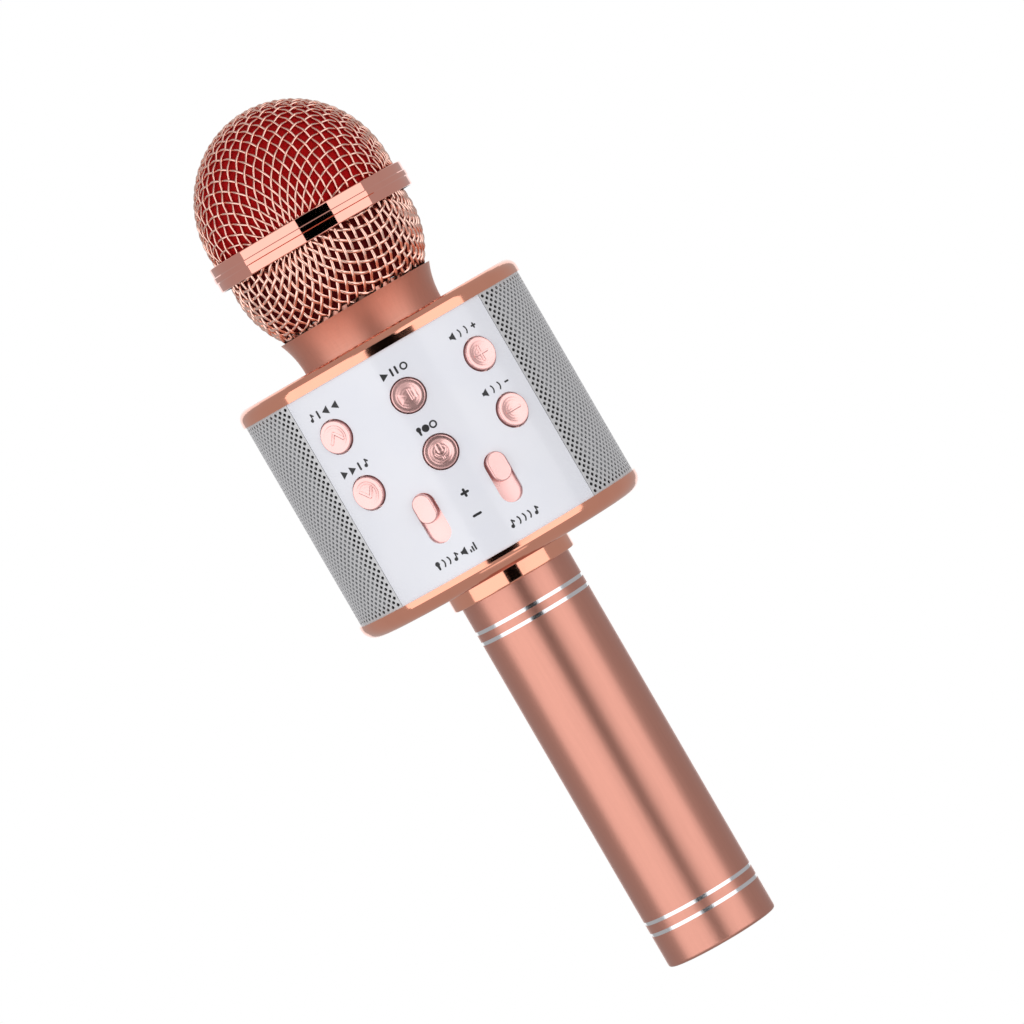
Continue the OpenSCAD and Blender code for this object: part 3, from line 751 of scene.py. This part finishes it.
def build_grilles():
    dome_middle = BALL_TOP - DOME_RISE
    net_middle = dome_middle + 0.9 * MM
    woven_grille(
        "woven_dome", "grille_upper",
        pitch=0.110, gaps=(12, 12), phases=(0.9, 0.2), wire_d=UPPER_WIRE, crimp=0.5,
        turn=-54, net_middle=net_middle, net_rise=BALL_TOP - UPPER_WIRE - net_middle,
        middle=dome_middle, rise=DOME_RISE - UPPER_WIRE, radius=BALL_R - UPPER_WIRE,
        span=(FOAM_SPLIT + 0.4 * MM, BALL_TOP),
    )
    bowl_r = BOWL_R - LOWER_WIRE
    woven_grille(
        "woven_bowl", "grille_lower",
        pitch=0.106, gaps=(14, 12), phases=(0.5, 0), wire_d=LOWER_WIRE, crimp=0.3,
        turn=-59, net_middle=BOWL_MIDDLE + 4.35 * MM, net_rise=-29 * MM,
        middle=BOWL_MIDDLE, rise=bowl_r, radius=bowl_r,
        span=(low("grille_lower").z + 0.3 * MM, high("grille_lower").z - 0.2 * MM),
    )


RING_EDGE = 0.3 * MM
EDGE_LOOP = 0.05 * MM  # a loop this far from a rounded edge keeps the wall beside it flat
BEAD_RISE = 0.25 * MM
BEAD_HALF = (0.65 * MM, 0.9 * MM)  # of the bead's face and of its foot


def build_ring():
    """The polished ring round the ball, with a low bead round its middle."""
    start = low("grille_ring").z
    inner, outer, middle = BALL_R + 0.1 * MM, RING_R, middle_height("grille_ring")
    face, foot = BEAD_HALF
    lower = [(inner, start)] + arc(outer - RING_EDGE, start + RING_EDGE, RING_EDGE, -90, 0)
    lower += [(outer, start + RING_EDGE + EDGE_LOOP), (outer, middle - foot)]
    lower.append((outer + BEAD_RISE, middle - face))
    outline = lower + [(r, 2 * middle - z) for r, z in reversed(lower)]
    points, faces = turned(outline, 160)
    ring = add_piece("ball_ring", points, faces, "copper_plated", HEAD, ["grille_ring"])
    ring.material_slots[0].material = looks["blush_plated"].material


FOAM_SLACK = 0.12 * MM  # between the foam and its CAD solid's face
FOAM_EDGE = 0.8 * MM
COLLAR_BORE_R = 13.4 * MM
DENT = 0.006  # the deepest dent in the foam, as a share of its distance from the axis


def build_foams():
    """Foam linings: a solid crown in the dome, and a collar round the capsule below in a darker red that is
    painted shade.
    """
    radius = high("foam_upper").x - FOAM_SLACK
    top = high("foam_upper").z - FOAM_SLACK
    middle = BALL_TOP - DOME_RISE
    turns = np.radians(np.linspace(0, 90, 31))
    crown = [(radius * math.cos(t), middle + (top - middle) * math.sin(t)) for t in turns]
    crown[-1] = (0, top)
    edge = arc(radius - FOAM_EDGE, FOAM_SPLIT + FOAM_EDGE, FOAM_EDGE, -90, 0)
    points, faces = turned([(0, FOAM_SPLIT), (radius - FOAM_EDGE, FOAM_SPLIT)] + edge + crown)
    upper = add_piece("foam_crown", uneven(points, middle), faces, "bright_red_foam", HEAD, ["foam_upper"])

    radius = high("foam_lower").x - FOAM_SLACK
    base, top = low("foam_lower").z, high("foam_lower").z
    heights = np.linspace(base, top, 25)
    wall = [(math.sqrt(radius ** 2 - (z - BOWL_MIDDLE) ** 2), z) for z in heights]
    points, faces = turned(wall + [(COLLAR_BORE_R, top), (COLLAR_BORE_R, base)])
    points = uneven(points, BOWL_MIDDLE)
    lower = add_piece("foam_collar", points, faces, "dark_red_foam", HEAD, ["foam_lower"])


def uneven(points, middle):
    """Dents points towards the axis a little, as cut foam is."""
    dented = []
    for x, y, z in points:
        angle = math.atan2(y, x)
        dent = 0.5 + 0.25 * math.sin(9 * angle + 400 * (z - middle)) + 0.25 * math.sin(14 * angle - 700 * z)
        share = 1 - DENT * dent
        dented.append((x * share, y * share, z))
    return dented


# ---- the perforated side sheets ----

HOLE_REACH = (0.56 * MM, 0.49 * MM)  # half of a hole's width and height
HOLE_POWER = 1.55  # 1 makes a diamond, and 2 an ellipse
HOLE_POINTS = 12
COLUMN_GAP = 1.105 * MM
ROW_GAP = 0.98 * MM
SHEET_THICK = 0.3 * MM


def perforated_wall(name, node, middle):
    """A curved sheet with rounded diamond holes in staggered rows, each in a diamond cell of its own.

    The cells at the sheet's edges are cut off and have no hole. middle is the sheet's angle round the axis.
    """
    radius = max(high(node).x, -low(node).x)
    half_angle = math.asin(high(node).y / radius)
    bottom, top = low(node).z, high(node).z
    columns = round(2 * radius * half_angle / COLUMN_GAP)
    rows = round((top - bottom) / ROW_GAP)
    points, index, faces = [], {}, []

    def corner(i, j):
        """The point at this place of the lattice, held within the sheet."""
        i = min(max(i, 0), columns)
        j = min(max(j, 0), rows)
        key = (round(3 * i), round(3 * j))
        if key not in index:
            index[key] = len(points)
            points.append(bent(i / columns, j / rows))
        return index[key]

    def bent(across, up):
        turn = math.radians(middle) + half_angle * (2 * across - 1)
        return (radius * math.cos(turn), radius * math.sin(turn), bottom + (top - bottom) * up)

    corners = [(1, 0), (0, 1), (-1, 0), (0, -1), (1, 0)]
    for i in range(columns + 1):
        for j in range(i % 2, rows + 1, 2):
            rim = []
            for (x0, y0), (x1, y1) in zip(corners, corners[1:]):
                for share in (0, 1 / 3, 2 / 3):
                    rim.append(corner(i + x0 + (x1 - x0) * share, j + y0 + (y1 - y0) * share))
            if i in (0, columns) or j in (0, rows):
                faces.append(list(dict.fromkeys(rim)))
                continue
            first = len(points)
            for k in range(HOLE_POINTS):
                turn = math.radians(360 / HOLE_POINTS * k)
                c, s = math.cos(turn), math.sin(turn)
                share = (abs(c) ** HOLE_POWER + abs(s) ** HOLE_POWER) ** (-1 / HOLE_POWER)
                points.append(bent((i + share * c * HOLE_REACH[0] / COLUMN_GAP) / columns,
                                   (j + share * s * HOLE_REACH[1] / ROW_GAP) / rows))
            for k in range(HOLE_POINTS):
                after = (k + 1) % HOLE_POINTS
                faces.append([rim[k], rim[after], first + after, first + k])
    faces = [face for face in faces if len(face) > 2]
    sheet = add_piece(name, points, faces, "perforated_sheet", BODY, [node], closed=False)
    sheet.data.shade_flat()
    thickness = sheet.modifiers.new("sheet_thickness", "SOLIDIFY")
    thickness.thickness = SHEET_THICK
    thickness.offset = -1


# ---- buttons and sliders ----

CAP_R = 4.3 * MM
CAP_EDGE = 0.3 * MM
CAP_RIM = 0.75 * MM  # flat rim round the dish
DISH_DEPTH = 0.38 * MM
DISH_STEPS = 57
FLANGE_BACK = 36.95 * MM  # distances from the drum's axis
FLANGE_FACE = 37.75 * MM
STEM_R = 1.7 * MM
SYMBOL_TALL = 0.28 * MM
SYMBOL_SINK = 0.1 * MM  # how much of that is under the dish's face
SYMBOL_STEP = 0.002 * MM  # by which each stroke is taller than the last, so that none coincide
SYMBOL_BEVEL = (0.28 * MM, 0.1 * MM)
TURNING_PITCH = 0.8 * MM
TURNING_DEPTH = 0.007 * MM


def dish_depth(radius, dish_r):
    """How far a cap's face lies under its rim at this radius."""
    return DISH_DEPTH * (1 - (radius / dish_r) ** 2)


def button(name, node, body, angle, height, symbol):
    """A dished cap with turning rings and a raised symbol, on its flange and stem."""
    dish_r = CAP_R - CAP_EDGE - CAP_RIM
    outline = [(0, SWITCH_TOP), (STEM_R, SWITCH_TOP), (STEM_R, FLANGE_BACK), (FLANGE_R, FLANGE_BACK),
               (FLANGE_R, FLANGE_FACE), (CAP_R, FLANGE_FACE)]
    outline += arc(CAP_R - CAP_EDGE, CAP_TOP - CAP_EDGE, CAP_EDGE, 0, 90)
    for radius in np.linspace(dish_r, 0, DISH_STEPS):
        ripple = TURNING_DEPTH * math.sin(2 * math.pi * radius / TURNING_PITCH) if radius else 0
        outline.append((radius, CAP_TOP - dish_depth(radius, dish_r) + ripple))
    parts = [turned(outline)]
    for count, stations in enumerate(symbol):
        strokes = [(x * MM, y * MM, half * MM) for x, y, half in stations]
        points, faces = stroke_solid(strokes, 0, SYMBOL_TALL + SYMBOL_STEP * count, *SYMBOL_BEVEL)
        foot = CAP_TOP - SYMBOL_SINK
        parts.append(([(x, y, foot + z - dish_depth(math.hypot(x, y), dish_r)) for x, y, z in points], faces))
    points, faces = moved(join(parts), on_face(angle, height))
    add_piece(name, points, faces, "pink_plated", body, [node], sharp=18)


SYMBOL_HALF = 0.42
# Strokes of the caps' symbols, in millimetres about the cap's middle
SYMBOLS = {
    "up": [line((-1.8, -1.1), (0, 1.1), SYMBOL_HALF), line((0, 1.1), (1.8, -1.1), SYMBOL_HALF)],
    "down": [line((-1.8, 1.1), (0, -1.1), SYMBOL_HALF), line((0, -1.1), (1.8, 1.1), SYMBOL_HALF)],
    "play": [wedge((-2.5, 0), (-0.2, 0), 1.5), line((0.6, -1.2), (0.6, 1.2), SYMBOL_HALF),
             line((1.9, -1.2), (1.9, 1.2), SYMBOL_HALF)],
    "microphone": [line((0, 0.4), (0, 1.6), 0.8), bow((0, 0.5), 1.6, 200, 340, 0.34),
                   line((0, -1.1), (0, -2.1), 0.36), line((-0.9, -2.2), (0.9, -2.2), 0.36)],
    "plus": [line((-1.8, 0), (1.8, 0), SYMBOL_HALF), line((0, -1.8), (0, 1.8), SYMBOL_HALF)],
    "minus": [line((-2, 0), (2, 0), SYMBOL_HALF)],
}
BUTTON_ANGLE = 31.2


def build_buttons():
    """Three columns of two buttons."""
    for angle, upper, lower in (
        (-BUTTON_ANGLE, ("previous", "up"), ("next", "down")),
        (0, ("play", "play"), ("record", "microphone")),
        (BUTTON_ANGLE, ("volume_up", "plus"), ("volume_down", "minus")),
    ):
        for use, symbol in (upper, lower):
            node = "button_" + use
            button(use + "_cap", node, use + "_key", angle, middle_height(node), SYMBOLS[symbol])


SLIDER_ANGLE = 15
SHUTTER_HALF_ANGLE = 5.9
SHUTTER_R = (38.55 * MM, 39.15 * MM)
SHUTTER_EDGE = 0.12 * MM
LEVER_END = 31.8 * MM  # from the drum's axis
LEVER_HALF = (1 * MM, 1.5 * MM)
KNOB_W = 5.1 * MM
KNOB_L = 7.8 * MM
KNOB_EDGE = 0.35 * MM


def pill_row(width, length, height, steps=14):
    """Points round a pill that lies along Y."""
    row = []
    for end in (1, -1):
        for t in np.linspace(0, math.pi, steps):
            y = (length - width) / 2 + width / 2 * math.sin(t)
            row.append((end * width / 2 * math.cos(t), end * y, height))
    return row


def shutter(angle, middle, reach):
    """The curved plate under a knob that hides its slot."""
    turns = np.radians(np.linspace(-SHUTTER_HALF_ANGLE, SHUTTER_HALF_ANGLE, 13)) + math.radians(angle)
    inner, outer = SHUTTER_R
    levels = [(inner, reach), (outer - SHUTTER_EDGE, reach), (outer, reach - SHUTTER_EDGE)]
    section = levels + [(r, -z) for r, z in reversed(levels)]
    return rings([[(r * math.sin(t), -r * math.cos(t), middle + z) for r, z in section] for t in turns])


def slider(name, node, body, angle):
    """A flat-faced knob on its shutter, with the lever that works the slide pot."""
    middle = middle_height(node)
    reach = high(node).z - middle
    knob_top = PANEL_R + KNOB_RISE
    base = SHUTTER_R[0] + 0.2 * MM
    rows = [pill_row(KNOB_W, KNOB_L, base), pill_row(KNOB_W, KNOB_L, knob_top - KNOB_EDGE)]
    for t in np.radians([18, 36, 54, 72, 90]):
        inset = 2 * KNOB_EDGE * (1 - math.cos(t))
        rows.append(pill_row(KNOB_W - inset, KNOB_L - inset, knob_top - KNOB_EDGE * (1 - math.sin(t))))
    rows.append(pill_row(KNOB_W - 2.4 * KNOB_EDGE, KNOB_L - 2.4 * KNOB_EDGE, knob_top))
    half_w, half_l = LEVER_HALF
    lever = block((-half_w, -half_l, LEVER_END), (half_w, half_l, base))
    solid = moved(join([rings(rows), lever]), on_face(angle, middle))
    points, faces = join([solid, shutter(angle, middle, reach)])
    add_piece(name, points, faces, "pink_plated", body, [node])


# ---- sockets and the power switch at the back ----

TONGUE_HALF = 2.6 * MM
TONGUE_HEIGHTS = (1.5 * MM, 2.05 * MM)  # above the socket's base
CONTACT_GAP = 0.65 * MM
CONTACT_HALF = 0.17 * MM
CONTACT_DROP = 0.08 * MM  # how far it stands out under the tongue
CONTACT_SINK = 0.02 * MM
CONTACT_SHORT = 0.4 * MM
AUX_BORE_R = 1.8 * MM
AUX_RIM_R = 2.45 * MM
AUX_HEIGHT = 3.2 * MM  # of the jack's middle above its base
RIM_EDGE = 0.04 * MM
RIM_RISE = 0.12 * MM
RIDGE_COUNT = 4
RIDGE_DEPTH = 0.3 * MM
THUMB_EDGE = 0.1 * MM


def build_usb():
    """The socket's tongue, and the five contacts on its underside."""
    start, end = low("usb_socket"), high("usb_socket")
    middle = (start.x + end.x) / 2
    back, front = start.y + 1 * MM, end.y - 0.9 * MM
    under, over = [start.z + height for height in TONGUE_HEIGHTS]
    points, faces = block((middle - TONGUE_HALF, back, under), (middle + TONGUE_HALF, front, over))
    add_piece("usb_tongue", points, faces, "black_plastic", BODY)
    contacts = []
    for place in range(-2, 3):
        x = middle + place * CONTACT_GAP
        foot = (x - CONTACT_HALF, back, under - CONTACT_DROP)
        contacts.append(block(foot, (x + CONTACT_HALF, front - CONTACT_SHORT, under + CONTACT_SINK)))
    add_piece("usb_contacts", *join(contacts), "copper_plated", BODY)


def build_aux_rim():
    """The bright washer round the headphone jack."""
    start, end = low("aux_socket"), high("aux_socket")
    back = -0.1 * MM
    rim = [(AUX_RIM_R, back), (AUX_RIM_R, RIM_RISE - RIM_EDGE), (AUX_RIM_R - RIM_EDGE, RIM_RISE)]
    washer = turned([(AUX_BORE_R, back)] + rim + [(AUX_BORE_R, RIM_RISE)], 48)
    place = Matrix.Translation(((start.x + end.x) / 2, end.y, start.z + AUX_HEIGHT))
    points, faces = moved(washer, place @ Matrix.Rotation(math.radians(-90), 4, "X"))
    add_piece("aux_rim", points, faces, "tin_plate", BODY)


def build_power_thumb():
    """The power switch's thumb piece, with ridges across its end."""
    start, end = low("power_switch_knob"), high("power_switch_knob")
    valley = end.y - RIDGE_DEPTH
    shoulder = valley - THUMB_EDGE
    outline = [(start.x, start.y), (end.x, start.y), (end.x, shoulder), (end.x - THUMB_EDGE, valley)]
    pitch = (end.x - start.x - 2 * THUMB_EDGE) / RIDGE_COUNT
    for count in range(RIDGE_COUNT):
        right = end.x - THUMB_EDGE - count * pitch
        for share, depth in ((0.2, end.y), (0.6, end.y), (0.8, valley), (1, valley)):
            outline.append((right - share * pitch, depth))
    outline.append((start.x, shoulder))
    points, faces = rings([[(x, y, z) for x, y in outline] for z in (start.z, end.z)])
    add_piece("power_thumb", points, faces, "black_plastic", "power_slider", ["power_switch_knob"], sharp=20)


# ---- printed marks ----

# Pictograms, width, angle from the panel's middle and height above its lower edge
LABELS = {
    "mark_previous": (["note", "bar", "back", "back"], 9.3, -30.9, 52.7),
    "mark_next": (["ahead", "ahead", "bar", "note"], 8.8, -31.2, 36.3),
    "mark_play": (["ahead", "bar", "bar", "ring"], 7.4, 0, 52.7),
    "mark_record": (["microphone", "dot", "ring"], 5.6, 0, 36.3),
    "mark_volume_up": (["speaker", "wave", "wave", "plus"], 8.7, 29.7, 52.7),
    "mark_volume_down": (["speaker", "wave", "wave", "minus"], 8.7, 29.9, 36.3),
    "mark_mic_volume": (["microphone", "wave", "wave", "note", "speaker", "levels"], 11.7, -14.4, 4.6),
    "mark_echo": (["note", "wave", "wave", "wave", "note"], 8.7, 14.4, 4.6),
}
# Pictograms, angle and height
BACK_LABELS = {
    "mark_usb": (["bolt"], 197.5, 18.2),
    "mark_card": (["card"], 180, 18.2),
    "mark_aux": (["headphones"], 162.5, 22.6),
    "mark_power": (["power"], 180, 43.6),
}


SIGN_HALF = 0.33
MORE_REACH = 0.85
MORE_HEIGHT = 17.4
LESS_REACH = 0.95
LESS_HEIGHT = 11.1


def build_marks():
    for name, (words, width, angle, height) in LABELS.items():
        print_on_drum(name, label_strokes(words, width), angle, PANEL_LOW + height * MM)
    across = line((-MORE_REACH, 0), (MORE_REACH, 0), SIGN_HALF)
    upright = line((0, -MORE_REACH), (0, MORE_REACH), SIGN_HALF)
    print_on_drum("mark_more", [across, upright], 0, PANEL_LOW + MORE_HEIGHT * MM)
    less = line((-LESS_REACH, 0), (LESS_REACH, 0), SIGN_HALF)
    print_on_drum("mark_less", [less], 0, PANEL_LOW + LESS_HEIGHT * MM)
    for name, (words, angle, height) in BACK_LABELS.items():
        print_on_drum(name, label_strokes(words, 0, BACK_LABEL_HEIGHT), angle, PANEL_LOW + height * MM)


# ---- stage, light and camera ----


def emissive(name, colour):
    """A material that only shines, and looks the same from everywhere."""
    material = bpy.data.materials.new(name)
    material.use_nodes = True
    shader = material.node_tree.nodes["Principled BSDF"]
    shader.inputs["Base Color"].default_value = (0, 0, 0, 1)
    shader.inputs["Specular IOR Level"].default_value = 0
    shader.inputs["Emission Color"].default_value = (*colour, 1)
    shader.inputs["Emission Strength"].default_value = 1
    return material


def stage_piece(name, part, material, camera=True, glossy=False):
    """Part of the studio, seen by the camera or in reflections only, and casting no shadow."""
    points, faces = part
    mesh = bpy.data.meshes.new(name)
    mesh.from_pydata(points, [], faces)
    mesh.shade_smooth()
    mesh.materials.append(material)
    piece = bpy.data.objects.new(name, mesh)
    bpy.context.scene.collection.objects.link(piece)
    piece.visible_camera = camera
    piece.visible_glossy = glossy
    piece.visible_diffuse = False
    piece.visible_transmission = camera
    piece.visible_shadow = False
    return piece


AIM = Vector((0.0080, 0, 0.1217))
CAMERA_PLACE = Vector((0, -1.93, 0.180))
CAMERA_ROLL = 30.1
FOCAL = 264.6
SENSOR = 36


def build_camera():
    data = bpy.data.cameras.new("camera")
    data.lens = FOCAL
    data.sensor_width = SENSOR
    data.dof.use_dof = False
    camera = bpy.data.objects.new("camera", data)
    bpy.context.scene.collection.objects.link(camera)
    back = (CAMERA_PLACE - AIM).normalized()
    roll = math.radians(CAMERA_ROLL)
    up = Vector((math.sin(roll), 0, math.cos(roll)))
    right = up.cross(back).normalized()
    up = back.cross(right)
    turn = Matrix((right, up, back)).transposed()
    camera.matrix_world = Matrix.Translation(CAMERA_PLACE) @ turn.to_4x4()
    bpy.context.scene.camera = camera


SOFTBOX_DISTANCE = 1.5
# Name, azimuth, elevation, width, height, radiance, and whether polished metal mirrors it
SOFTBOXES = [
    ("left_box", -46, 8, 2.34, 1.9, 1.02, True),
    ("right_box", 40, 8, 1.87, 1.9, 1.02, True),
    ("low_box", 0, -42, 0.9, 0.5, 0.5, True),
    ("back_left", -168, 15, 0.55, 1.6, 0.6, True),
    ("back_right", 168, 15, 0.55, 1.6, 0.6, True),
    ("back_fill_left", -135, 15, 1.2, 1.6, 0.8, False),
    ("back_fill_right", 135, 15, 1.2, 1.6, 0.8, False),
]


def softbox(name, azimuth, elevation, width, height, radiance, mirrored):
    """A rectangular lamp that faces the drum. Azimuth 0 is in front of the panel, and 90 to its right."""
    a, e = math.radians(azimuth), math.radians(elevation)
    centre = Vector((0, 0, (PANEL_LOW + PANEL_HIGH) / 2))
    data = bpy.data.lights.new(name, "AREA")
    data.shape = "RECTANGLE"
    data.size = width
    data.size_y = height
    data.energy = radiance * math.pi * width * height
    lamp = bpy.data.objects.new(name, data)
    way = Vector((math.sin(a) * math.cos(e), -math.cos(a) * math.cos(e), math.sin(e)))
    lamp.location = centre + SOFTBOX_DISTANCE * way
    lamp.rotation_euler = (lamp.location - centre).to_track_quat("Z", "Y").to_euler()
    lamp.visible_camera = False
    lamp.visible_glossy = mirrored
    bpy.context.scene.collection.objects.link(lamp)


# Black cards before the softboxes, which polished metal shows as its dark middle: across, and up
FLAG_DISTANCE = 1.2
FLAGS = [
    ("black_flag", (-0.233, 0.322), (-0.14, 1.08)),
    ("black_flag_right", (0.322, 0.61), (0.12, 0.36)),
]
WORLD_LIGHT = 0.48
FLOOR_R = 3.0
FLOOR_DEPTH = -0.5 * MM
BACKDROP_R = 8.0


def build_studio():
    """A pale floor and backdrop, black cards, soft lamps and an even fill."""
    scene = bpy.context.scene
    scene.view_settings.view_transform = "Standard"
    world = bpy.data.worlds.new("studio")
    world.use_nodes = True
    fill = world.node_tree.nodes["Background"]
    fill.inputs["Color"].default_value = (*rgb(250, 249, 249), 1)
    fill.inputs["Strength"].default_value = WORLD_LIGHT
    scene.world = world

    white = emissive("stage_white", (1, 1, 1))
    circle = [(math.cos(t), math.sin(t)) for t in np.linspace(0, 2 * math.pi, 64, endpoint=False)]
    tilts = np.radians(np.linspace(-89, 89, 40))
    dome = [[(BACKDROP_R * math.cos(e) * x, BACKDROP_R * math.cos(e) * y, BACKDROP_R * math.sin(e))
             for x, y in circle] for e in tilts]
    stage_piece("backdrop", rings(dome), white)
    floor = [(FLOOR_R * x, FLOOR_R * y, FLOOR_DEPTH) for x, y in circle]
    stage_piece("floor", (floor, [tuple(range(len(floor)))]), white)

    black = emissive("flag_black", (0, 0, 0))
    for name, across, up in FLAGS:
        flag = [[(x, -FLAG_DISTANCE, z) for x in across] for z in up]
        stage_piece(name, rings(flag, closed_rows=False, capped=False), black, camera=False, glossy=True)

    for settings in SOFTBOXES:
        softbox(*settings)


# ---- put together ----

looks = build_looks()
dress_cad_nodes()
build_grilles()
build_ring()
build_foams()
perforated_wall("perforated_left", "side_grille_left", 180)
perforated_wall("perforated_right", "side_grille_right", 0)
build_buttons()
slider("mic_volume_knob", "slider_mic_volume", "mic_volume_slider", -SLIDER_ANGLE)
slider("echo_knob", "slider_echo", "echo_slider", SLIDER_ANGLE)
build_usb()
build_aux_rim()
build_power_thumb()
build_marks()
build_camera()
build_studio()
